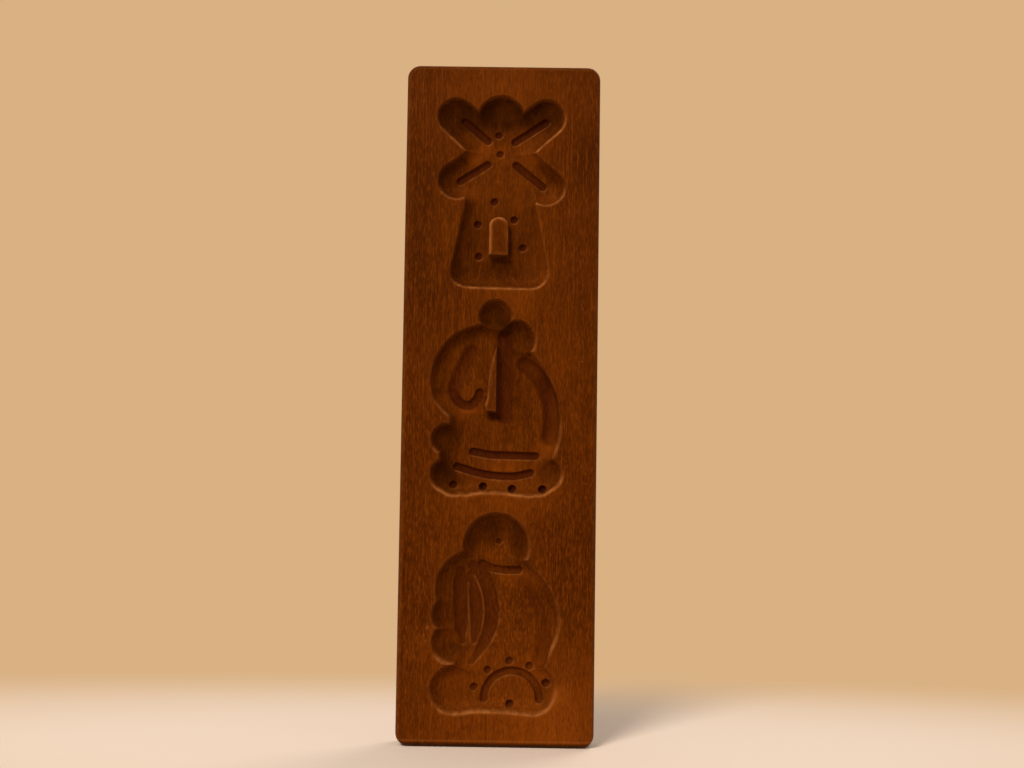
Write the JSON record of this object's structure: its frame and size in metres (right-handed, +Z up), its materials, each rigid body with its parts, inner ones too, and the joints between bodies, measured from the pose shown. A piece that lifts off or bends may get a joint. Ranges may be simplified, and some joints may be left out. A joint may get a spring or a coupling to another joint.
{
  "type": "biscuit mould board",
  "caption": "Upright stained wooden mould board with a windmill, a ship and a bird cut in its face as dough pockets, and a swinging ring hanger on its back.",
  "frame": {"origin": "middle of the plank's lower end face", "axes": "+Z up along the plank, +X to the right as seen from the carved face, which looks along -Y; the ring hanger is on the +Y side"},
  "size_m": [0.105, 0.0243, 0.366],
  "materials": {
    "stained_beech": "satin lacquer over brown stain",
    "brass_strip": "dull pressed strip",
    "brass_wire": "drawn wire",
    "brass_screw": "turned, slotted head"
  },
  "bodies": {
    "plank": {"board": "stained_beech", "hanger_strap": "brass_strip", "hanger_screw": "brass_screw"},
    "ring": {"hanger_ring": "brass_wire"}
  },
  "joints": [
    {"name": "ring_swing", "type": "hinge", "parent": "plank", "child": "ring", "pos_m": [0, 0.0123, 0.346], "axis": [1, 0, 0], "range_deg": [-3, 183]}
  ]
}
